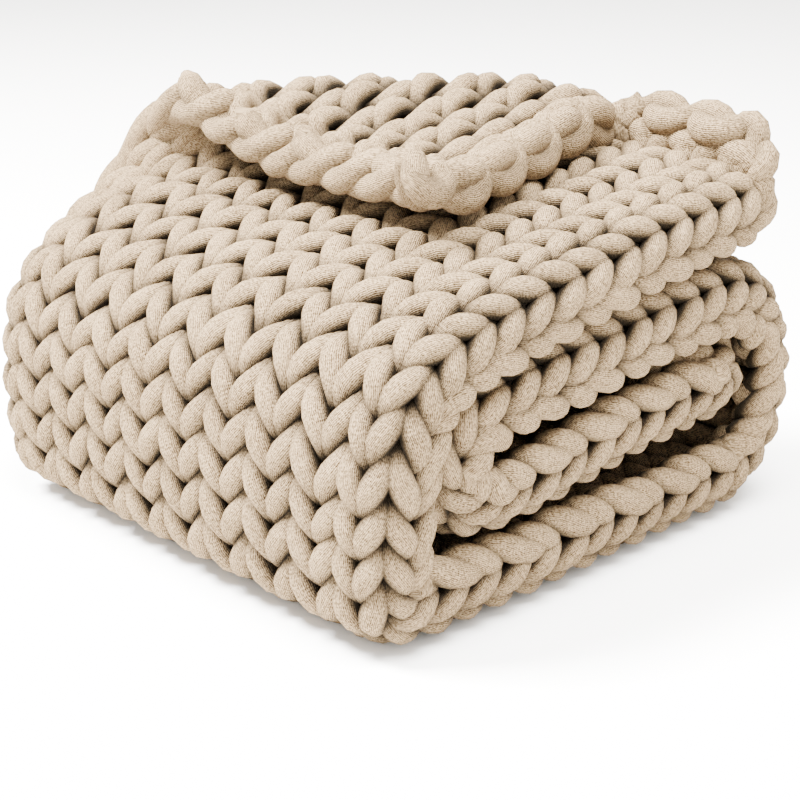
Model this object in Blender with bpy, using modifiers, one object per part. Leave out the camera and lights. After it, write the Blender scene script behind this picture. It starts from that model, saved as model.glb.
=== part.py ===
# Chunky knit throw, folded into a stack with one corner turned back.
# Metres, +Z up. X runs along the courses, Y from the folded front to the back.
# The cloth is one sheet. Its middle surface is a grid that follows the folded
# section, and a Solidify modifier gives it the thickness of the knit.

from math import cos, pi, radians, sin

import bmesh
import bpy
import numpy as np
from mathutils import Vector

# Cloth
PLY = 0.040  # thickness of the knit
HALF_WIDTH = 0.264  # half the cloth's width, from selvedge to selvedge
CURL_WIDTH = 0.040  # strip along each selvedge that curls
EDGE_ROUND = 0.009  # rounding of the cloth's rim

# Grid
COLUMNS = 20  # faces across the cloth
LONGEST_STEP = 0.055  # longest face along a straight layer
SHORTEST_STEP = 0.013  # shortest face, in the tight turns
TOP_STEP = 0.022  # longest face along the top layer, which is folded back
END_STEP = 0.0125  # longest face where the bind-off edge curls up
LARGEST_TURN = radians(24)  # most that the section turns from row to row
PATH_STEPS = 40  # fine steps between two points of the section

# Turned-back corner: the cloth rolls over at a line across the top layer
FOLD_POINT = (-0.050, 0.053)  # a point on that line, seen from above
FOLD_HEADING = radians(137)  # direction from the line towards the corner
FOLD_SPAN = (-0.333, 0.255)  # places along the line, by the selvedge and by the bind-off edge
FOLD_RADII = (0.041, 0.0235)  # radius of the roll there, at the middle surface
FOLD_SLOPE = radians(15)  # how steeply the corner comes down behind the roll
FOLD_GAP = 0.006  # gap between the corner and the layer that it lies on
PULL = 0.070  # how far the back left corner is pulled out before it is folded back
PULL_FROM = (0.200, -0.190)  # the pull grows to the left of this x and behind this y
LEFT_END = -0.277  # x of the unpulled left selvedge, for the growth of the pull

# Bind-off edge, which curls up where it isn't folded back
END_CURL = 0.050  # length of cloth that curls
END_RADIUS = 0.030  # radius of the curl, at the middle surface
END_FROM = (-0.060, 0.120)  # places across between which the curl grows

# Unevenness of the top
LIFT = 0.008  # how far the top layer rises towards the roll
LIFT_REACH = 0.16  # how far from the roll that rise begins
LIFT_FRONT = (-0.250, -0.130)  # the rise grows from the front face to here
SAG = 0.004  # height of the slow waves in the layers
SAG_FROM = (0.060, 0.140)  # heights between which those waves grow

# Middle surface of the folded cloth, seen from its right end. Each point has its
# place y and z, how far the selvedges curl towards the purl side there, and how
# far the right and the left selvedge stand in.
SECTION = [
    # y, z, curl, right, left
    (-0.138, 0.142, 0.000, 0.030, 0.020),  # cast-on edge, inside the stack
    (0.000, 0.152, 0.000, 0.026, 0.018),
    (0.100, 0.160, 0.000, 0.016, 0.012),
    (0.135, 0.160, 0.002, 0.012, 0.010),  # tip of the inner fold
    (0.166, 0.148, 0.002, 0.009, 0.010),
    (0.175, 0.128, 0.002, 0.008, 0.010),
    (0.165, 0.110, 0.002, 0.007, 0.010),
    (0.135, 0.103, 0.002, 0.006, 0.010),
    (0.100, 0.104, 0.004, 0.004, 0.008),
    (0.000, 0.098, 0.004, 0.002, 0.006),
    (-0.100, 0.088, 0.004, 0.002, 0.006),
    (-0.157, 0.092, 0.004, 0.003, 0.005),  # front fold inside the stack
    (-0.190, 0.130, 0.004, 0.004, 0.004),
    (-0.170, 0.174, 0.006, 0.003, 0.003),
    (-0.120, 0.188, 0.007, 0.002, 0.004),
    (0.000, 0.205, 0.008, 0.000, 0.004),
    (0.100, 0.218, 0.008, 0.000, 0.005),
    (0.160, 0.219, 0.008, 0.000, 0.006),
    (0.207, 0.198, 0.006, 0.002, 0.006),  # wrap round the back
    (0.234, 0.152, 0.006, 0.004, 0.006),
    (0.236, 0.100, 0.006, 0.004, 0.006),
    (0.218, 0.050, 0.006, 0.004, 0.005),
    (0.175, 0.020, 0.008, 0.003, 0.004),
    (0.100, 0.020, 0.010, 0.002, 0.004),  # bottom layer, flat on the surface
    (-0.080, 0.020, 0.010, 0.002, 0.006),
    (-0.190, 0.020, 0.010, 0.004, 0.008),
    (-0.2175, 0.021, 0.008, 0.005, 0.008),
    (-0.238, 0.030, 0.006, 0.006, 0.007),
    (-0.247, 0.052, 0.006, 0.005, 0.005),  # front face
    (-0.248, 0.085, 0.006, 0.004, 0.003),
    (-0.246, 0.125, 0.006, 0.002, 0.000),
    (-0.238, 0.166, 0.006, 0.000, 0.000),
    (-0.218, 0.204, 0.008, 0.000, 0.004),
    (-0.178, 0.231, 0.010, 0.000, 0.008),
    (-0.110, 0.251, 0.012, 0.000, 0.008),  # top layer, as if it wasn't folded back
    (0.000, 0.271, 0.012, 0.000, 0.004),
    (0.110, 0.285, 0.012, 0.000, 0.000),
    (0.160, 0.288, 0.012, 0.002, 0.000),
    (0.215, 0.287, 0.010, 0.008, 0.000),  # bind-off edge
]
TOP_START = 32  # the point of the section from which the cloth may be folded back

COLOUR = (0.60, 0.49, 0.37, 1.0)


def smooth_path():
    """Catmull-Rom curve through the section's points, then each point's number and length along."""
    points = np.column_stack([SECTION, np.arange(len(SECTION))])
    ends = np.vstack([2 * points[0] - points[1], points, 2 * points[-1] - points[-2]])
    rows = []
    for i in range(len(points) - 1):
        a, b, c, d = ends[i : i + 4]
        for t in np.arange(PATH_STEPS) / PATH_STEPS:
            curve = 2 * b + (c - a) * t + (2 * a - 5 * b + 4 * c - d) * t**2
            rows.append((curve + (3 * b - 3 * c + d - a) * t**3) / 2)
    path = np.vstack([rows, points[-1]])
    path[:, 1] = np.maximum(path[:, 1], PLY / 2)
    steps = np.diff(path[:, :2], axis=0)
    lengths = np.concatenate([[0], np.cumsum(np.hypot(steps[:, 0], steps[:, 1]))])
    return np.column_stack([path, lengths])


def pick_rows(path):
    """Rows of the grid: closer together where the section turns, on the top layer and at its end."""
    steps = np.diff(path[:, :2], axis=0)
    lengths = np.diff(path[:, -1])
    headings = np.unwrap(np.arctan2(steps[:, 1], steps[:, 0]))
    turns = np.abs(np.diff(headings, append=headings[-1]))
    longest = np.where(path[:-1, -2] >= TOP_START, TOP_STEP, LONGEST_STEP)
    longest = np.where(path[:-1, -1] > path[-1, -1] - END_CURL, END_STEP, longest)
    needed = np.minimum(lengths / longest + turns / LARGEST_TURN, lengths / SHORTEST_STEP)
    cost = np.concatenate([[0], np.cumsum(needed)])
    count = int(np.ceil(cost[-1]))
    wanted = np.linspace(0, cost[-1], count + 1)
    return np.array([np.interp(wanted, cost, column) for column in path.T]).T


def ease(value, low, high):
    """Smooth step from 0 at low to 1 at high."""
    share = min(max((value - low) / (high - low), 0), 1)
    return share * share * (3 - 2 * share)


def past_fold(x, y):
    """How far a place seen from above lies past the fold line, towards the corner."""
    return (x - FOLD_POINT[0]) * cos(FOLD_HEADING) + (y - FOLD_POINT[1]) * sin(FOLD_HEADING)


def fold_radius(x, y):
    """Radius of the roll at the place of the fold line that a point is opposite to."""
    on_line = (x - FOLD_POINT[0]) * sin(FOLD_HEADING) - (y - FOLD_POINT[1]) * cos(FOLD_HEADING)
    return float(np.interp(on_line, FOLD_SPAN, FOLD_RADII))


def top_height(x, y, path):
    """Height of the top layer's middle surface at a place seen from above."""
    top = path[PATH_STEPS * TOP_START :]
    lift = LIFT * ease(past_fold(x, y), -LIFT_REACH, 0) * ease(y, *LIFT_FRONT)
    return float(np.interp(y, top[:, 0], top[:, 1])) + lift


def roll_back(beyond, radius):
    """Shift and rise of a point of the cloth that lies this far beyond the fold line."""
    turned = pi + FOLD_SLOPE
    angle = min(beyond / radius, turned)
    rise = radius * (1 - cos(angle))
    highest = radius * (1 - cos(turned))
    slope_length = max(highest - PLY - FOLD_GAP, 0) / sin(FOLD_SLOPE)
    behind = max(beyond - turned * radius, 0)
    sloping = min(behind, slope_length)
    forward = radius * sin(angle) - sloping * cos(FOLD_SLOPE) - (behind - sloping)
    return forward, rise - sloping * sin(FOLD_SLOPE)


def curl_end(x, behind_end):
    """How far the curled bind-off edge falls short and rises, this far into its curl."""
    bend = behind_end / END_RADIUS * ease(x, *END_FROM)
    if bend <= 0:
        return 0, 0
    return behind_end * (1 - sin(bend) / bend), behind_end * (1 - cos(bend)) / bend


def place(across, row, path):
    """Point of the folded cloth's middle surface, and how far it curls there."""
    y, z, curl, right, left, number, length = row
    inset = right if across > 0 else left
    x = across * (HALF_WIDTH - inset)
    edge = max(abs(x) - (HALF_WIDTH - inset - CURL_WIDTH), 0) / CURL_WIDTH
    wave = SAG * ease(z, *SAG_FROM) * sin(9 * x + 2) * sin(7 * y + 31 * z)
    if number < TOP_START:
        return x, y, z + wave, curl * edge * edge
    short, rise = curl_end(x, max(length - (path[-1, -1] - END_CURL), 0))
    grown = (y - PULL_FROM[1]) / (path[-1, 0] - PULL_FROM[1])
    y += PULL * max(grown, 0) * max(PULL_FROM[0] - x, 0) / (PULL_FROM[0] - LEFT_END) - short
    beyond = past_fold(x, y)
    if beyond <= 0:
        return x, y, top_height(x, y, path) + wave + rise, curl * edge * edge
    forward, height = roll_back(beyond, fold_radius(x, y))
    x += (forward - beyond) * cos(FOLD_HEADING)
    y += (forward - beyond) * sin(FOLD_HEADING)
    return x, y, top_height(x, y, path) + wave + height, 0


def build_surface():
    """Grid bent into the folded cloth's middle surface, its knit side outwards."""
    path = smooth_path()
    rows = pick_rows(path)
    mesh = bmesh.new()
    bmesh.ops.create_grid(mesh, x_segments=COLUMNS, y_segments=len(rows) - 1, size=1)
    curls = {}
    for vert in mesh.verts:
        row = rows[round((vert.co.y + 1) / 2 * (len(rows) - 1))]
        x, y, z, curl = place(vert.co.x, row, path)
        vert.co = Vector((x, y, z))
        curls[vert] = curl
    mesh.normal_update()
    moved = {vert: vert.co - vert.normal * curl for vert, curl in curls.items()}
    for vert, co in moved.items():
        vert.co = co
        vert.co.z = max(vert.co.z, PLY / 2)
    return mesh


def centre_on_floor(thing):
    """Move the mesh so that the solid's box is centred on the origin and stands on zero."""
    bpy.context.view_layer.update()
    solid = thing.evaluated_get(bpy.context.evaluated_depsgraph_get()).to_mesh()
    points = np.array([vert.co[:] for vert in solid.vertices])
    low = points.min(axis=0)
    high = points.max(axis=0)
    shift = Vector((-(low[0] + high[0]) / 2, -(low[1] + high[1]) / 2, -low[2]))
    for vert in thing.data.vertices:
        vert.co += shift
    print("shift", [round(v, 4) for v in shift], "size", np.round(high - low, 4))


def yarn_material():
    """Warm light beige yarn."""
    material = bpy.data.materials.new("yarn_beige")
    material.use_nodes = True
    shader = material.node_tree.nodes["Principled BSDF"]
    shader.inputs["Base Color"].default_value = COLOUR
    shader.inputs["Roughness"].default_value = 0.9
    shader.inputs["Metallic"].default_value = 0.0
    material.diffuse_color = COLOUR
    return material


def build_throw():
    """The whole throw: one sheet with a thickness and a rounded rim."""
    surface = build_surface()
    mesh = bpy.data.meshes.new("throw")
    surface.to_mesh(mesh)
    surface.free()
    thing = bpy.data.objects.new("throw", mesh)
    home = bpy.data.collections.new("chunky_knit_throw")
    bpy.context.scene.collection.children.link(home)
    home.objects.link(thing)
    mesh.materials.append(yarn_material())

    solid = thing.modifiers.new("thickness", "SOLIDIFY")
    solid.thickness = PLY
    solid.offset = 0

    rim = thing.modifiers.new("rim", "BEVEL")
    rim.width = EDGE_ROUND
    rim.segments = 2
    rim.limit_method = "ANGLE"
    rim.angle_limit = radians(60)

    centre_on_floor(thing)
    mesh.shade_smooth()
    return thing


for old in list(bpy.data.objects):
    bpy.data.objects.remove(old, do_unlink=True)
build_throw()
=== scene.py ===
from math import cos, pi, radians, sin

import bpy
import numpy as np
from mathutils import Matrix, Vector


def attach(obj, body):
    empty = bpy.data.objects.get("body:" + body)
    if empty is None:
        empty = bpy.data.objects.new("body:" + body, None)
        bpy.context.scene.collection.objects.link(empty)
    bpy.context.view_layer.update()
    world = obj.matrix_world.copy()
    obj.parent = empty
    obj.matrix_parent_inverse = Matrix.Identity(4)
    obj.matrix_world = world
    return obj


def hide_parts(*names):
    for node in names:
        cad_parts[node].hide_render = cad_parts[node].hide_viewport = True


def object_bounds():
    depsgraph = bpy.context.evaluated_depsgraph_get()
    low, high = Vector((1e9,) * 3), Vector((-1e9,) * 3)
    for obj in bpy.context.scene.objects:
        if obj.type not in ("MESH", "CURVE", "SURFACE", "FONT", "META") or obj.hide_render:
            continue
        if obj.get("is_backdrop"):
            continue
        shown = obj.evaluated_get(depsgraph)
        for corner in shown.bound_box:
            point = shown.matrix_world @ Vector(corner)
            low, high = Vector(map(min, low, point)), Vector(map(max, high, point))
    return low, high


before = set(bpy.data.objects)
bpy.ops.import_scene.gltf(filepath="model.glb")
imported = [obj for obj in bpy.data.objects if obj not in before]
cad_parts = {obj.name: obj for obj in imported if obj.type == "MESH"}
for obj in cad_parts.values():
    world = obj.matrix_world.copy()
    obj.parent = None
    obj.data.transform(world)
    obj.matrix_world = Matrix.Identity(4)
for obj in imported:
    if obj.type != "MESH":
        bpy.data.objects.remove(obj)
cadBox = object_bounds()
print("frame loaded")

# How the cloth lies, in metres. Each line of the section is a place y and z of the cloth's
# middle seen from the right end, then how far the right and the left selvedge stand in,
# and how much each of them curls, from 0 to 1. It starts at the cast-on edge inside.
fold = {
    "section": [
        (-0.118, 0.143, 0.085, 0.030, 0.0, 0.0),
        (0.000, 0.150, 0.070, 0.026, 0.0, 0.0),
        (0.100, 0.156, 0.045, 0.020, 0.3, 0.3),
        (0.135, 0.157, 0.024, 0.014, 0.7, 0.7),
        (0.166, 0.147, 0.014, 0.010, 0.8, 0.8),
        (0.175, 0.128, 0.010, 0.010, 0.8, 0.8),
        (0.165, 0.110, 0.007, 0.010, 0.85, 0.85),
        (0.135, 0.103, 0.006, 0.010, 0.9, 0.9),
        (0.100, 0.104, 0.004, 0.008, 1.0, 1.0),
        (0.000, 0.098, 0.002, 0.006, 1.0, 1.0),
        (-0.100, 0.088, 0.002, 0.006, 0.9, 0.9),
        (-0.157, 0.092, 0.005, 0.005, 0.75, 0.75),
        (-0.190, 0.130, 0.008, 0.010, 0.7, 0.7),
        (-0.170, 0.174, 0.008, 0.005, 0.75, 0.75),
        (-0.120, 0.188, 0.002, 0.004, 1.0, 1.0),
        (0.000, 0.205, 0.000, 0.004, 1.0, 1.0),
        (0.100, 0.218, 0.000, 0.005, 1.0, 1.0),
        (0.160, 0.219, 0.000, 0.006, 1.0, 1.0),
        (0.207, 0.198, 0.002, 0.006, 0.9, 0.9),
        (0.234, 0.152, 0.004, 0.006, 0.8, 0.8),
        (0.236, 0.100, 0.004, 0.006, 0.8, 0.8),
        (0.218, 0.050, 0.004, 0.005, 0.9, 0.9),
        (0.175, 0.020, 0.003, 0.004, 1.0, 1.0),
        (0.100, 0.020, 0.002, 0.004, 1.0, 1.0),
        (-0.080, 0.020, 0.002, 0.006, 1.0, 1.0),
        (-0.190, 0.020, 0.004, 0.008, 1.0, 1.0),
        (-0.2175, 0.021, 0.005, 0.008, 1.0, 1.0),
        (-0.238, 0.030, 0.006, 0.007, 1.0, 1.0),
        (-0.247, 0.052, 0.005, 0.005, 1.0, 1.0),
        (-0.248, 0.085, 0.004, 0.003, 1.0, 1.0),
        (-0.246, 0.125, 0.002, 0.000, 1.0, 1.0),
        (-0.238, 0.166, 0.000, 0.000, 1.0, 1.0),
        (-0.218, 0.204, 0.000, 0.004, 1.0, 0.8),
        (-0.178, 0.231, 0.000, 0.008, 1.0, 0.5),
        (-0.110, 0.251, 0.000, 0.008, 1.0, 0.3),
        (0.000, 0.271, 0.000, 0.004, 1.0, 0.2),
        (0.110, 0.285, 0.000, 0.000, 1.0, 0.2),
        (0.160, 0.288, 0.002, 0.000, 1.0, 0.2),
        (0.215, 0.287, 0.008, 0.000, 0.9, 0.2),
    ],
    "steps": 40,  # points from one line of the section to the next
    "startPoints": 4,  # before the first line, the cloth goes on as it does over these
    "lowest": 0.020,  # least height of the cloth's middle
    "topFrom": 32,  # the line of the section from which the cloth may be turned back
    "shift": (-0.0015, 0.0052),  # from the section's own place to the frame's
    "halfWidth": 0.264,  # of the stack, which the selvedges' insets are taken from
    "flatTo": 0.2245,  # the cloth is flat from its middle to here
    "curlRadius": 0.0208,  # of the selvedges' curl where it is whole
    "endCurl": 0.050,  # length of cloth that curls up before the bind-off edge
    "endRadius": 0.029,  # of that curl
    "endCurlFrom": (-0.060, 0.120),  # places across between which that curl grows
    "pull": 0.070,  # how far the back left corner is pulled out
    "pullFrom": (-0.190, 0.200),  # the pull grows from this y, and to the left of this x
    "pullFullAt": -0.277,  # x at which it is whole
    "cornerPoint": (-0.050, 0.053),  # a point on the line where the corner turns back
    "cornerHeading": radians(137),  # from that line towards the corner, seen from above
    "cornerRadius": (0.041, 0.0235),  # at the selvedge and at the bind-off edge
    "cornerSpan": (-0.333, 0.255),  # places of those two along the line
    "cornerSlope": radians(15),
    "cornerGap": 0.046,  # from the top layer's middle to that of the corner lying on it
    "lift": 0.008,  # how far the top layer rises towards the corner's line
    "liftReach": 0.16,  # from this far before that line
    "liftFront": (-0.250, -0.130),  # and between these y, behind the front fold
    "sag": 0.004,  # height of the slow waves
    "sagFrom": (0.060, 0.140),  # heights over the floor between which they grow
    "waves": (9, 7, 31),  # their angle's change in a metre of x, of y and of z
    "waveStart": 2,  # their angle at x = 0
    "slopeStep": 0.001,  # the cloth's slopes are taken over this much to both sides
    "step": 0.0025,  # of the grid that holds the laid cloth
    "spare": 0.06,  # the grid goes this far past the cloth's edges
}

knit = {
    "waleWidths": [0.034, 0.027] + [0.054] * 8 + [0.027, 0.034],
    "waleSpreads": [0.27, 0.26] + [0.30] * 8 + [0.26, 0.27],  # how far the legs lean out, in wales
    "courses": 72,
    "loopMiddle": 0.5,  # how far along its course a loop's middle lies, in courses
    "loopHeight": 0.90,  # half of a loop's height, in courses
    "depth": 0.0100,  # how far the legs stand out and the heads stand back
    "radius": 0.0129,  # of the yarn
    "thinner": 0.42,  # share that the yarn loses where it passes through the cloth
    "tighter": 0.10,  # share that it loses in the wales at the selvedges
    "tighterFrom": (0.205, 0.245),  # places across between which that begins and is whole
    "bendShare": 0.95,  # its radius stays under this share of the bend's
    "thinnest": 0.80,  # share of its radius that it keeps in the sharpest bends
    "evenOver": 5,  # rings over which that is evened out
    "samples": 28,  # rings in a loop
    "turnSamples": 26,  # rings in a turn at the selvedge
    "sides": 14,  # faces round the yarn
    "turnSwing": 0.3,  # how far a turn swings out, 1 being as the last leg leads it
    "turnOut": 0.008,  # how much further out its middle lies
    "edgeLoops": 10,  # loops of the cast-on and of the bind-off chain
    "edgeSamples": 40,  # rings in such a loop
    "edgeHeight": 0.60,  # half of such a loop's length, in loops
    "edgeSpread": (0.0118, 0.002),  # of its legs, by the first and the second sine
    "edgePast": 0.004,  # the chain lies this far past the cloth's end
    "uneven": 0.0016,  # how far the yarn wanders in the cloth
    "unevenLift": 0.6,  # share of that by which it wanders off the cloth
    "unevenRadius": 0.05,  # share by which it is thicker or thinner by chance
    "lowest": 0.0005,  # least height of the yarn's surface over the floor
    "seed": 7,  # of what is left to chance
    "pieces": 5,  # that the yarn is cut into
}

# How far the painted crease shade and the yarn's thinning are held back at the cloth's edges,
# from 0 to 1, and, where two lengths follow, how far from the edge that begins and is whole.
edgeLook = {
    "selvedge": (0.3, 0.030, 0.004),
    "turn": 0.65,
    "chain": 0.45,
    "bindOff": (0.7, 0.030, 0.010),
    "corner": (0.7, 0.45, 0.38),  # the left selvedge from the bind-off edge on
    "cornerFrom": (0.215, 0.250),  # places across between which that begins and is whole
}


# Puts a new object made of this mesh, camera or light into the scene.
def addThing(name, data):
    thing = bpy.data.objects.new(name, data)
    bpy.context.scene.collection.objects.link(thing)
    return thing


# A number that goes smoothly from 0 at low to 1 at high: three times its square less twice
# its cube.
def ease(value, low, high):
    share = np.clip((value - low) / (high - low), 0, 1)
    return share * share * (3 - 2 * share)


# A smooth line through the points: between two of them each value is the cubic that leaves
# and arrives along the line from the point before to the point after.
def smoothLine(points, steps):
    ends = np.vstack([2 * points[0] - points[1], points, 2 * points[-1] - points[-2]])
    a, b, c, d = ends[:-3, None], ends[1:-2, None], ends[2:-1, None], ends[3:, None]
    t = (np.arange(steps) / steps)[None, :, None]
    line = (2 * b + (c - a) * t + (2 * a - 5 * b + 4 * c - d) * t**2
            + (3 * b - 3 * c + d - a) * t**3) / 2
    return np.vstack([line.reshape(-1, points.shape[1]), points[-1]])


# Unit normals of a grid of points: the slope across times the slope along.
def gridNormals(points):
    normals = np.cross(np.gradient(points, axis=1), np.gradient(points, axis=0))
    return normals / np.linalg.norm(normals, axis=2, keepdims=True)


# Where the turned-back corner puts a point that lies this far beyond its line: round an arc,
# then down a slope to the layer below, then level. It gives the shift and the rise.
def turnBack(beyond, radius):
    slope = fold["cornerSlope"]
    turned = pi + slope
    angle = np.clip(beyond / radius, 0, turned)
    highest = radius * (1 - cos(turned))
    slopeLength = np.maximum(highest - fold["cornerGap"], 0) / sin(slope)
    behind = np.maximum(beyond - turned * radius, 0)
    sloping = np.minimum(behind, slopeLength)
    forward = radius * np.sin(angle) - sloping * cos(slope) - (behind - sloping)
    return forward, radius * (1 - np.cos(angle)) - sloping * sin(slope)


# The folded cloth without its curls, at a place x across and a length along the section.
# Low in the stack it has the section's own place. The top layer is pulled out towards its
# back left corner and rises towards the corner's line; past that line it is turned back.
# Slow waves, a product of two sines, make the layers uneven.
def foldOver(path, lengths, x, reach):
    y, z, number = (np.interp(reach, lengths, path[:, i]) for i in (0, 1, -1))
    y += np.maximum(reach - lengths[-1], 0)
    start = fold["startPoints"]
    y += np.minimum(reach, 0) * (path[start, 0] - path[0, 0]) / lengths[start]
    isTop = number >= fold["topFrom"]
    top = path[fold["steps"] * fold["topFrom"]:]
    pointX, pointY = fold["cornerPoint"]
    wayX, wayY = cos(fold["cornerHeading"]), sin(fold["cornerHeading"])
    waveX, waveY, waveZ = fold["waves"]
    wave = fold["sag"] * ease(z, *fold["sagFrom"])
    wave = wave * np.sin(waveX * x + fold["waveStart"]) * np.sin(waveY * y + waveZ * z)
    pullY, pullX = fold["pullFrom"]
    pull = np.maximum(y - pullY, 0) / (path[-1, 0] - pullY)
    pull = pull * np.maximum(pullX - x, 0) / (pullX - fold["pullFullAt"])
    y = y + np.where(isTop, fold["pull"] * pull, 0)
    beyond = (x - pointX) * wayX + (y - pointY) * wayY
    onLine = (x - pointX) * wayY - (y - pointY) * wayX
    forward, rise = turnBack(beyond, np.interp(onLine, fold["cornerSpan"], fold["cornerRadius"]))
    turned = isTop & (beyond > 0)
    newX = np.where(turned, x + (forward - beyond) * wayX, x)
    newY = np.where(turned, y + (forward - beyond) * wayY, y)
    beyond = (newX - pointX) * wayX + (newY - pointY) * wayY
    lift = fold["lift"] * ease(beyond, -fold["liftReach"], 0) * ease(newY, *fold["liftFront"])
    topZ = np.interp(newY, top[:, 0], top[:, 1]) + lift
    newZ = np.where(isTop, topZ, z) + wave + np.where(turned, rise, 0)
    return np.dstack([newX, newY, newZ])


# The laid cloth as a grid of points, rows along its length and columns across its width.
# Across, it is flat and then follows an arc towards the purl side at both selvedges. Along,
# it follows the section, and its last part follows an arc towards the knit side. Both arcs
# are the sine of the bend outwards and one less its cosine off the surface.
def layCloth():
    lines = np.array(fold["section"])
    path = smoothLine(np.column_stack([lines, np.arange(len(lines))]), fold["steps"])
    path[:, 1] = np.maximum(path[:, 1], fold["lowest"])
    lengths = np.concatenate([[0], np.cumsum(np.hypot(*np.diff(path[:, :2], axis=0).T))])
    length = lengths[-1]
    along = np.arange(-fold["spare"], length + fold["spare"], fold["step"])
    half = sum(knit["waleWidths"]) / 2 + fold["spare"] / 2
    across = np.arange(-half, half + fold["step"] / 2, fold["step"])

    ending = np.maximum(along - length + fold["endCurl"], 0)[:, None]
    endBend = ending / fold["endRadius"] * ease(across, *fold["endCurlFrom"])
    rise = ending * endBend / 2 * np.sinc(endBend / 2 / pi) ** 2
    reach = np.minimum(along, length - fold["endCurl"])[:, None] + ending * np.sinc(endBend / pi)

    right, left = (np.interp(reach, lengths, path[:, i]) for i in (2, 3))
    rightCurl, leftCurl = (np.interp(reach, lengths, path[:, i]) for i in (4, 5))
    rest = np.maximum(abs(across) - fold["flatTo"], 0)[None, :]
    bend = np.where(across > 0, rightCurl, leftCurl) / fold["curlRadius"] * rest
    rise -= rest * bend / 2 * np.sinc(bend / 2 / pi) ** 2
    x = np.sign(across) * (np.minimum(abs(across), fold["flatTo"]) + rest * np.sinc(bend / pi))
    x = x * (1 - np.where(across > 0, right, left) / fold["halfWidth"])

    points = foldOver(path, lengths, x, reach)
    bit = fold["slopeStep"]
    sideways = foldOver(path, lengths, x + bit, reach) - foldOver(path, lengths, x - bit, reach)
    onwards = foldOver(path, lengths, x, reach + bit) - foldOver(path, lengths, x, reach - bit)
    normals = np.cross(sideways, onwards)
    points += normals / np.linalg.norm(normals, axis=2, keepdims=True) * rise[:, :, None]
    points[:, :, :2] += fold["shift"]
    return points, gridNormals(points), across, along, length


# Reads a grid at places across and along: the mean of its four nearest points, each counting
# for more the nearer it is. A place past the grid is read just inside its last cell.
def readGrid(grid, across, along):
    inside = 1.001
    column = np.clip((across - clothAcross[0]) / fold["step"], 0, len(clothAcross) - inside)
    row = np.clip((along - clothAlong[0]) / fold["step"], 0, len(clothAlong) - inside)
    c, r = column.astype(int), row.astype(int)
    u, v = (column - c)[..., None], (row - r)[..., None]
    low = grid[r, c] * (1 - u) + grid[r, c + 1] * u
    high = grid[r + 1, c] * (1 - u) + grid[r + 1, c + 1] * u
    return low * (1 - v) + high * v


# Random numbers at every few steps, joined by smooth waves.
def slowNoise(count, every, random):
    knots = random.uniform(-1, 1, count // every + 3)
    place = np.arange(count) / every
    low = place.astype(int)
    share = ease(place - low, 0, 1)
    return knots[low] * (1 - share) + knots[low + 1] * share


# A cubic that leaves the first value by its step and arrives at the last one by that one's.
def joinUp(first, firstStep, last, lastStep, count):
    v = np.arange(count) / count
    return (first * (1 + 2 * v) * (1 - v) ** 2 + firstStep * count * v * (1 - v) ** 2
            + last * v**2 * (3 - 2 * v) + lastStep * count * v**2 * (v - 1))


# The middle of the yarn in the cloth's own measure, one row after another without a break.
# Round a loop the angle t goes from one foot to the next with the head at 0. Across, the
# yarn moves on evenly and leans out by the sine of twice t; along, it rises and falls by
# the cosine of t; its height over the cloth is less the cosine of twice t, so both legs lie
# in front, head and feet behind. From a row's last foot, behind the cloth, it goes round the
# selvedge in a cubic to the first leg of the next row, in front, pushed outwards by the square
# of a sine. The share atEdge says how far the painted shade in the creases is held back: it
# rises towards the selvedge, and in a turn it follows the same square.
def knitRows():
    wales = len(knit["waleWidths"])
    edges = np.concatenate([[0], np.cumsum(knit["waleWidths"])]) - sum(knit["waleWidths"]) / 2
    course = clothLength / knit["courses"]
    u = np.arange(wales * knit["samples"]) / knit["samples"]
    wale = u.astype(int)
    t = 2 * pi * (u - wale) - pi
    lean = (np.array(knit["waleSpreads"]) * knit["waleWidths"])[wale]
    across = np.interp(u, np.arange(wales + 1), edges) + lean * np.sin(2 * t)
    along = knit["loopMiddle"] + knit["loopHeight"] * np.cos(t)
    height = -np.cos(2 * t)

    first, count = knit["samples"] // 4, knit["turnSamples"]
    bulge = np.sin(pi * np.arange(count) / count) ** 2
    parts = []
    for row, flip, onward, swing in (
        (across, -1, 0, knit["turnSwing"]),
        (along, 1, 1, 1),
        (height, 1, 0, 1),
    ):
        leave = swing * (row[-1] - row[-2])
        arrive = flip * (row[first + 1] - row[first - 1]) / 2
        turn = joinUp(row[-1], leave, flip * row[first] + onward, arrive, count)
        parts.append(np.concatenate([row[first:-1], turn]))
    across, along, height = parts
    across[-count:] += knit["turnOut"] * bulge
    held, begins, whole = edgeLook["selvedge"]
    atEdge = held * ease(abs(across), edges[-1] - begins, edges[-1] - whole)
    atEdge[-count:] = np.maximum(atEdge[-count:], edgeLook["turn"] * bulge)

    rows = np.arange(knit["courses"])[:, None]
    side = np.where(rows % 2 == 0, 1, -1)
    across = (side * across[None, :]).ravel()
    along = ((rows + along[None, :]) * course).ravel()
    keep = len(across) - count
    height, atEdge = (np.tile(a, knit["courses"])[:keep] for a in (height, atEdge))
    return across[:keep], along[:keep], height, atEdge


# A chain of loops along the cast-on or the bind-off edge, from left to right. Round a loop
# it moves on most at both ends of the loop, to and fro by the cosine of t, and sideways by
# the sines of t and 2t.
def knitEdge(at):
    half = sum(knit["waleWidths"]) / 2
    loops = np.arange(knit["edgeLoops"] * knit["edgeSamples"] + 1) / knit["edgeSamples"]
    t = 2 * pi * loops
    pitch = 2 * half / knit["edgeLoops"]
    onward = loops + np.sin(2 * t) / (4 * pi)
    across = -half + pitch * (onward + knit["edgeHeight"] * (np.cos(t) - 1))
    first, second = knit["edgeSpread"]
    along = at + first * np.sin(t) + second * np.sin(2 * t)
    return across, along, -np.cos(2 * t), np.full(len(t), edgeLook["chain"])


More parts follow.
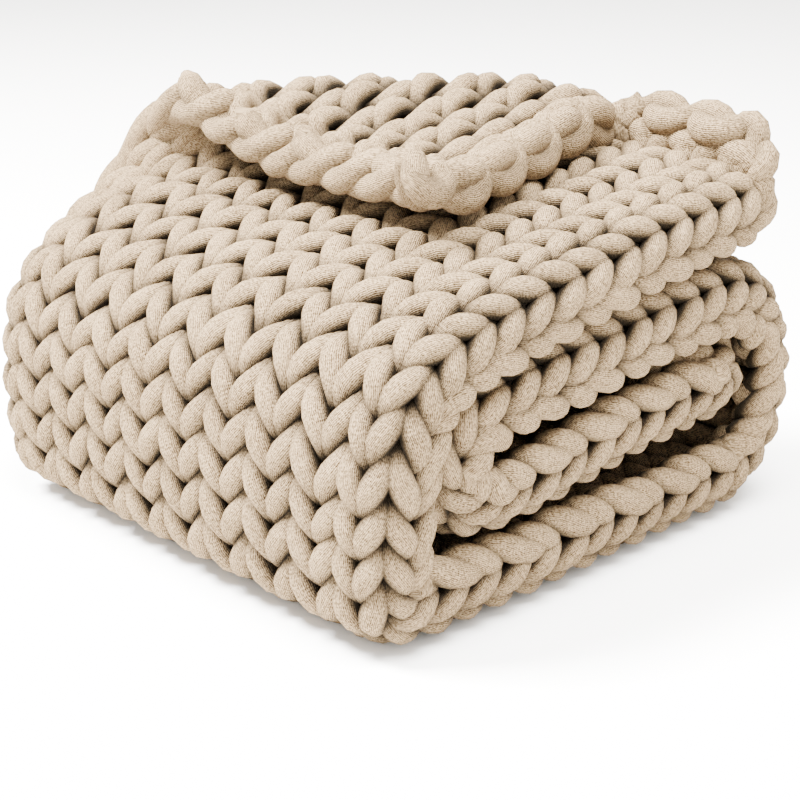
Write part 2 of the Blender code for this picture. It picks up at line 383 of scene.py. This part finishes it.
# The whole yarn: the cast-on chain from right to left, the rows, and the bind-off chain. It
# wanders a little. Its radius is less where its height is near 0, as it passes through the
# cloth there, and less in the wales at the selvedges, both by less where atEdge is greater.
def knitYarn(random):
    castOn = knitEdge(-knit["edgePast"])
    bindOff = knitEdge(clothLength + knit["edgePast"])
    strands = zip(castOn, knitRows(), bindOff)
    across, along, height, atEdge = (np.concatenate([a[::-1], b, c]) for a, b, c in strands)
    count, half = len(across), knit["samples"] // 2
    across = across + knit["uneven"] * slowNoise(count, half, random)
    along = along + knit["uneven"] * slowNoise(count, half, random)
    wander = knit["unevenLift"] * knit["uneven"] * slowNoise(count, half, random)
    lift = knit["depth"] * height + wander
    held, begins, whole = edgeLook["bindOff"]
    atEnd = held * ease(along, clothLength - begins, clothLength - whole)
    held, begins, whole = edgeLook["corner"]
    atCorner = held * ease(along, clothLength - begins, clothLength - whole)
    atCorner = atCorner * ease(-across, *edgeLook["cornerFrom"])
    atEdge = np.maximum(atEdge, np.maximum(atEnd, atCorner))
    through = np.maximum(1 - abs(height), 0) * (1 - atEdge)
    tight = knit["tighter"] * ease(abs(across), *knit["tighterFrom"]) * (1 - atEdge)
    chance = 1 + knit["unevenRadius"] * slowNoise(count, half, random)
    radius = knit["radius"] * (1 - (knit["thinner"] * through + tight)) * chance
    return across, along, lift, radius, atEdge


# A tube round a line of points: rings square to the line, set out from the cloth's normal,
# joined by four-sided faces and closed by a face at each end. The UV map holds the way round
# from 0 to 1 and the way along in metres. The attribute standOut is how far a point is from
# the cloth's middle, as a share of the greatest, raised towards 1 by the share atEdge; the
# yarn's material paints shade into its colour where standOut is low.
def tube(name, centre, normal, lift, radius, atEdge, way, sides):
    ahead = np.gradient(centre, axis=0)
    ahead /= np.linalg.norm(ahead, axis=1, keepdims=True)
    aside = np.cross(ahead, normal)
    aside /= np.linalg.norm(aside, axis=1, keepdims=True)
    up = np.cross(aside, ahead)
    angle = 2 * pi * np.arange(sides) / sides
    turnCos, turnSin = np.cos(angle)[None, :, None], np.sin(angle)[None, :, None]
    ring = turnCos * aside[:, None] + turnSin * up[:, None]
    points = centre[:, None] + radius[:, None, None] * ring
    count = len(centre)
    i = np.arange(count - 1)[:, None] * sides
    j = np.arange(sides)[None, :]
    nextJ = (j + 1) % sides
    faces = np.stack([i + j, i + nextJ, i + sides + nextJ, i + sides + j], axis=2).reshape(-1, 4)
    caps = [list(range(sides))[::-1], list(range((count - 1) * sides, count * sides))]
    flat = points.reshape(-1, 3)
    flat[:, 2] = np.maximum(flat[:, 2], knit["lowest"])
    mesh = bpy.data.meshes.new(name)
    mesh.from_pydata(flat.tolist(), [], faces.tolist() + caps)
    round1 = np.broadcast_to(j / sides, (count - 1, sides))
    round2 = round1 + 1 / sides
    way1 = np.broadcast_to(way[:-1, None], (count - 1, sides))
    way2 = np.broadcast_to(way[1:, None], (count - 1, sides))
    corners = np.stack([round1, way1, round2, way1, round2, way2, round1, way2], axis=2).ravel()
    ends = np.zeros(4 * sides)
    uv = mesh.uv_layers.new(name="yarnWay")
    uv.data.foreach_set("uv", np.concatenate([corners, ends]).astype(np.float32))
    # standOut, from which the yarn's material paints the shade of the creases into its colour
    height = abs(lift[:, None] + radius[:, None] * np.sin(angle)[None, :])
    height /= knit["depth"] + knit["radius"]
    height += atEdge[:, None] * np.maximum(1 - height, 0)
    standOut = mesh.attributes.new("standOut", "FLOAT", "POINT")
    standOut.data.foreach_set("value", height.ravel().astype(np.float32))
    mesh.shade_smooth()
    return addThing(name, mesh)


# The yarn's radius where it bends sharply: at most a share of the bend's radius, which is one
# over the change of its direction in a metre, and at least a share of its own. The bend and
# the result are evened out over a few rings.
def thinInBends(centre, radius):
    ahead = np.gradient(centre, axis=0)
    step = np.linalg.norm(ahead, axis=1)
    bend = np.linalg.norm(np.gradient(ahead / step[:, None], axis=0), axis=1) / step
    few = np.ones(knit["evenOver"]) / knit["evenOver"]
    most = knit["bendShare"] / np.maximum(np.convolve(bend, few, "same"), 1)
    return np.convolve(np.clip(most, knit["thinnest"] * radius, radius), few, "same")


# The knitted yarn, laid on the cloth's middle and lifted along its normal by the yarn's height,
# then cut into pieces with equal numbers of rings.
def buildYarn(random):
    across, along, lift, radius, atEdge = knitYarn(random)
    normal = readGrid(clothNormals, across, along)
    normal /= np.linalg.norm(normal, axis=1, keepdims=True)
    centre = readGrid(clothPoints, across, along) + normal * lift[:, None]
    radius = thinInBends(centre, radius)
    way = np.concatenate([[0], np.cumsum(np.linalg.norm(np.diff(centre, axis=0), axis=1))])
    cuts = np.linspace(0, len(centre) - 1, knit["pieces"] + 1).astype(int)
    pieces = []
    for number, (a, b) in enumerate(zip(cuts[:-1], cuts[1:])):
        strand = [line[a:b + 1] for line in (centre, normal, lift, radius, atEdge, way)]
        pieces.append(tube(f"yarn_{number + 1}", *strand, knit["sides"]))
    print("yarn", round(float(way[-1]), 1), "m in", len(pieces), "pieces,", len(centre), "rings")
    return pieces


# A dark sheet of painted shade inside the cloth, which fills the small holes between the stitches.
gapShadeSheet = {
    "every": 4,  # it takes one in so many of the laid cloth's points
    "fromEnds": 0.012,  # it stops this far before the cast-on and the bind-off edge
    "fromSelvedges": 0.020,
    "behind": 0.001,  # how far it lies behind the cloth's middle
}


# Painted shade between the stitches: a dark sheet, a plain grid of the laid cloth's own
# points a little inside its edges, that fills the small holes between the loops where only
# shade falls.
def buildShadeSheet():
    every, margin = gapShadeSheet["every"], gapShadeSheet["fromEnds"]
    rows = np.flatnonzero((clothAlong > margin) & (clothAlong < clothLength - margin))[::every]
    half = sum(knit["waleWidths"]) / 2 - gapShadeSheet["fromSelvedges"]
    columns = np.flatnonzero(abs(clothAcross) < half)[::every]
    points = (clothPoints - gapShadeSheet["behind"] * clothNormals)[np.ix_(rows, columns)]
    m, n = len(rows), len(columns)
    i, j = np.arange(m - 1)[:, None] * n, np.arange(n - 1)[None, :]
    faces = np.stack([i + j, i + j + 1, i + n + j + 1, i + n + j], axis=2).reshape(-1, 4)
    mesh = bpy.data.meshes.new("gapShadeSheet")
    mesh.from_pydata(points.reshape(-1, 3).tolist(), [], faces.tolist())
    mesh.shade_smooth()
    return addThing("gapShadeSheet", mesh)


clothPoints, clothNormals, clothAcross, clothAlong, clothLength = layCloth()
course = round(float(clothLength / knit["courses"]), 4)
print("cloth laid,", round(float(clothLength), 3), "m long, course", course)
random = np.random.default_rng(knit["seed"])
yarnPieces = buildYarn(random)
shadeSheet = buildShadeSheet()


# A new material with its node tree and its shader.
def newMaterial(name):
    material = bpy.data.materials.new(name)
    material.use_nodes = True
    return material, material.node_tree, material.node_tree.nodes["Principled BSDF"]


# Adds a node, sets its inputs by name or number and gives it back.
def addNode(tree, kind, inputs=None, **settings):
    node = tree.nodes.new(kind)
    for key, value in settings.items():
        setattr(node, key, value)
    for key, value in (inputs or {}).items():
        if isinstance(value, bpy.types.NodeSocket):
            tree.links.new(value, node.inputs[key])
        else:
            node.inputs[key].default_value = value
    return node


# The result of one sum in a Math node, of numbers and of other nodes' outputs.
def maths(tree, operation, *values):
    return addNode(tree, "ShaderNodeMath", dict(enumerate(values)), operation=operation).outputs[0]


# A ripple from 0 to 1: half the sine of an angle, and a half.
def ripple(tree, angle):
    return maths(tree, "MULTIPLY_ADD", maths(tree, "SINE", angle), 0.5, 0.5)


yarnLook = {
    "light": (0.248, 0.174, 0.098, 1),
    "dark": (0.030, 0.018, 0.008, 1),
    "girth": 0.013,  # radius of the yarn that the pattern is laid round
    "ribs": 46,  # lengthwise ribs round the yarn
    "stitch": 0.0022,  # length of one of the fine stitches in a rib
    "stitchLead": 2.5,  # how far the rib leads a stitch's angle
    "fleck": 640,  # flecks in a metre round the yarn
    "fleckLength": 1.0,  # share of that number along the yarn, so less draws flecks out
    "fleckDetail": (2, 0.75),  # finer layers of the flecks' noise, and their roughness
    "fleckRange": (0.39, 0.61),  # noise at which a fleck is dark and light
    "tone": 16,  # slow changes of tone in a metre
    "toneDetail": 2,
    # how much lighter each of these makes the yarn, 1 being from dark to light
    "fleckShare": 0.70,
    "ribShare": 0.55,
    "stitchShare": 0.20,
    "toneShare": 0.4,
    "darker": -0.365,
    # how much each of these stands out
    "ribBump": 0.7,
    "stitchBump": 0.3,
    "fleckBump": 0.5,
    "bump": 0.8,
    "bumpDepth": 0.001,
    # painted shade in the creases: the next two numbers darken the yarn's colour where it lies
    # deep between the stitches
    "creases": 0.06,  # how dark the yarn is deep between the stitches, 1 being no darker
    "creaseRange": (0.42, 0.86),  # standOut at which it is so dark, and no darker
    "roughness": 0.9,
    "specular": 0.02,
    "sheen": 0.02,
    "sheenRoughness": 0.5,
    "sheenTint": (0.80, 0.66, 0.48, 1),
}


# Heathered jersey yarn. The place on the yarn is taken round a cylinder, so that no seam shows.
# Ribs are the sine of the way round; in each rib, fine stitches are the sine of the way along,
# led by the rib; flecks are a fine noise, and a slow noise changes the tone. Their shares add
# up to a mix of dark and light, and that colour is darkened by painted shade where the yarn
# lies deep between the stitches.
def buildYarnMaterial():
    material, tree, shader = newMaterial("heatheredYarn")
    place = addNode(tree, "ShaderNodeTexCoord").outputs["Object"]
    uv = addNode(tree, "ShaderNodeUVMap", uv_map="yarnWay").outputs[0]
    split = addNode(tree, "ShaderNodeSeparateXYZ", {0: uv})
    round1 = maths(tree, "MULTIPLY", split.outputs[0], 2 * pi)
    girth = yarnLook["girth"]
    onYarn = addNode(tree, "ShaderNodeCombineXYZ", {
        0: maths(tree, "MULTIPLY", maths(tree, "COSINE", round1), girth),
        1: maths(tree, "MULTIPLY", maths(tree, "SINE", round1), girth),
        2: maths(tree, "MULTIPLY", split.outputs[1], yarnLook["fleckLength"]),
    }).outputs[0]
    ribAngle = maths(tree, "MULTIPLY", round1, yarnLook["ribs"])
    rib = ripple(tree, ribAngle)
    stitchAngle = maths(tree, "MULTIPLY", split.outputs[1], 2 * pi / yarnLook["stitch"])
    stitchAngle = maths(tree, "MULTIPLY_ADD", rib, yarnLook["stitchLead"], stitchAngle)
    stitch = ripple(tree, stitchAngle)
    detail, roughness = yarnLook["fleckDetail"]
    noise = addNode(tree, "ShaderNodeTexNoise", {
        "Vector": onYarn, "Scale": yarnLook["fleck"], "Detail": detail, "Roughness": roughness,
    }).outputs[0]
    low, high = yarnLook["fleckRange"]
    fleck = addNode(tree, "ShaderNodeMapRange", {
        "Value": noise, "From Min": low, "From Max": high,
    }).outputs[0]
    tone = addNode(tree, "ShaderNodeTexNoise", {
        "Vector": place, "Scale": yarnLook["tone"], "Detail": yarnLook["toneDetail"],
    }).outputs[0]
    share = maths(tree, "MULTIPLY", fleck, yarnLook["fleckShare"])
    share = maths(tree, "MULTIPLY_ADD", rib, yarnLook["ribShare"], share)
    share = maths(tree, "MULTIPLY_ADD", stitch, yarnLook["stitchShare"], share)
    tone = maths(tree, "MULTIPLY_ADD", tone, yarnLook["toneShare"], yarnLook["darker"])
    share = maths(tree, "ADD", share, tone)
    colour = addNode(tree, "ShaderNodeMix", {0: share}, data_type="RGBA")
    for key, value in (("A", yarnLook["dark"]), ("B", yarnLook["light"])):
        socket = [s for s in colour.inputs if s.name == key and s.type == "RGBA"][0]
        socket.default_value = value
    # Painted shade: the colour is darkened where standOut is low, deep between the stitches, where
    # the neighbouring loops shade the yarn.
    standOut = addNode(tree, "ShaderNodeAttribute", attribute_name="standOut").outputs["Fac"]
    low, high = yarnLook["creaseRange"]
    paintedCreaseShade = addNode(tree, "ShaderNodeMapRange", {
        "Value": standOut, "From Min": low, "From Max": high,
        "To Min": yarnLook["creases"], "To Max": 1,
    }, interpolation_type="SMOOTHSTEP").outputs[0]
    shaded = addNode(tree, "ShaderNodeVectorMath", {1: paintedCreaseShade}, operation="MULTIPLY")
    tree.links.new([s for s in colour.outputs if s.type == "RGBA"][0], shaded.inputs[0])
    tree.links.new(shaded.outputs[0], shader.inputs["Base Color"])
    height = maths(tree, "MULTIPLY", stitch, yarnLook["stitchBump"])
    height = maths(tree, "MULTIPLY_ADD", rib, yarnLook["ribBump"], height)
    height = maths(tree, "MULTIPLY_ADD", fleck, yarnLook["fleckBump"], height)
    bump = addNode(tree, "ShaderNodeBump", {
        "Height": height, "Strength": yarnLook["bump"], "Distance": yarnLook["bumpDepth"],
    })
    tree.links.new(bump.outputs[0], shader.inputs["Normal"])
    shader.inputs["Roughness"].default_value = yarnLook["roughness"]
    shader.inputs["Sheen Weight"].default_value = yarnLook["sheen"]
    shader.inputs["Sheen Roughness"].default_value = yarnLook["sheenRoughness"]
    shader.inputs["Sheen Tint"].default_value = yarnLook["sheenTint"]
    shader.inputs["Specular IOR Level"].default_value = yarnLook["specular"]
    return material


# The dark colours of the painted shade in the gaps between the stitches.
gapShadeColours = {
    "dark": (0.10, 0.075, 0.05, 1),
    "light": (0.19, 0.145, 0.10, 1),
    "patches": 90,  # in a metre
    "detail": 3,
    "roughness": 0.95,
}


# Painted shade in the gaps between the stitches: a noise between two dark tones of the same beige.
def buildShadeSheetMaterial():
    material, tree, shader = newMaterial("paintedGapShade")
    place = addNode(tree, "ShaderNodeTexCoord").outputs["Object"]
    noise = addNode(tree, "ShaderNodeTexNoise", {
        "Vector": place, "Scale": gapShadeColours["patches"], "Detail": gapShadeColours["detail"],
    })
    ramp = addNode(tree, "ShaderNodeValToRGB", {0: noise.outputs[0]})
    ramp.color_ramp.elements[0].color = gapShadeColours["dark"]
    ramp.color_ramp.elements[1].color = gapShadeColours["light"]
    tree.links.new(ramp.outputs[0], shader.inputs["Base Color"])
    shader.inputs["Roughness"].default_value = gapShadeColours["roughness"]
    return material


yarnMaterial = buildYarnMaterial()
for piece in yarnPieces:
    piece.data.materials.append(yarnMaterial)
shadeSheet.data.materials.append(buildShadeSheetMaterial())
print("materials made")

stage = {
    "target": (0.0748, -0.0636, 0.120),  # the point that the camera looks at
    "azimuth": radians(46.4),
    "elevation": radians(19.3),
    "distance": 1.3552,
    "lens": 72,
    "sensor": 36,
    "floor": (0.92, 0.91, 0.89, 1),
    "floorSize": 30,  # half its side
    "floorRoughness": 0.9,
    "skyColour": (1.0, 0.985, 0.96, 1),
    "sky": 3.0,
    "backdrop": 12,  # the sky as the camera sees it
    "lights": (  # name, place, power and size
        ("key", (-1.4, -1.7, 3.2), 2050, 1.2),
        ("top", (0.9, -0.2, 3.2), 850, 1.8),
    ),
    "lightsAt": (0, 0, 0.15),  # the point that both shine at
}


# The floor is one wide square, so that its edge is out of sight. The camera stands at its
# distance from its target: azimuth is counted round from the front towards the right end, and
# elevation up from the floor. The sky gives one light to the throw and a brighter one to the
# camera.
def buildStage():
    size = stage["floorSize"]
    mesh = bpy.data.meshes.new("floor")
    corners = [(-size, -size, 0), (size, -size, 0), (size, size, 0), (-size, size, 0)]
    mesh.from_pydata(corners, [], [(0, 1, 2, 3)])
    floor = addThing("floor", mesh)
    material, _, shader = newMaterial("paleFloor")
    shader.inputs["Base Color"].default_value = stage["floor"]
    shader.inputs["Roughness"].default_value = stage["floorRoughness"]
    mesh.materials.append(material)
    floor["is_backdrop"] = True

    azimuth, elevation = stage["azimuth"], stage["elevation"]
    back = Vector((sin(azimuth) * cos(elevation), -cos(azimuth) * cos(elevation), sin(elevation)))
    camera = addThing("camera", bpy.data.cameras.new("camera"))
    camera.data.lens = stage["lens"]
    camera.data.sensor_width = stage["sensor"]
    camera.location = Vector(stage["target"]) + back * stage["distance"]
    camera.rotation_mode = "QUATERNION"
    camera.rotation_quaternion = (-back).to_track_quat("-Z", "Y")
    bpy.context.scene.camera = camera

    world = bpy.data.worlds.new("studio")
    bpy.context.scene.world = world
    world.use_nodes = True
    tree = world.node_tree
    isSeen = addNode(tree, "ShaderNodeLightPath").outputs["Is Camera Ray"]
    sky = stage["sky"]
    strength = maths(tree, "MULTIPLY_ADD", isSeen, stage["backdrop"] - sky, sky)
    background = tree.nodes["Background"]
    background.inputs["Color"].default_value = stage["skyColour"]
    tree.links.new(strength, background.inputs["Strength"])
    for name, place, power, size in stage["lights"]:
        light = bpy.data.lights.new(name, "AREA")
        light.energy = power
        light.size = size
        lamp = addThing(name, light)
        lamp.location = place
        lamp.rotation_mode = "QUATERNION"
        aim = Vector(stage["lightsAt"]) - Vector(place)
        lamp.rotation_quaternion = aim.to_track_quat("-Z", "Y")


buildStage()
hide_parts("throw")
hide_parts("throw")
for piece in yarnPieces + [shadeSheet]:
    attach(piece, "root")
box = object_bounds()
for label, corners in (("box", box), ("cad", cadBox)):
    print(label, [[round(v, 4) for v in corner] for corner in corners])
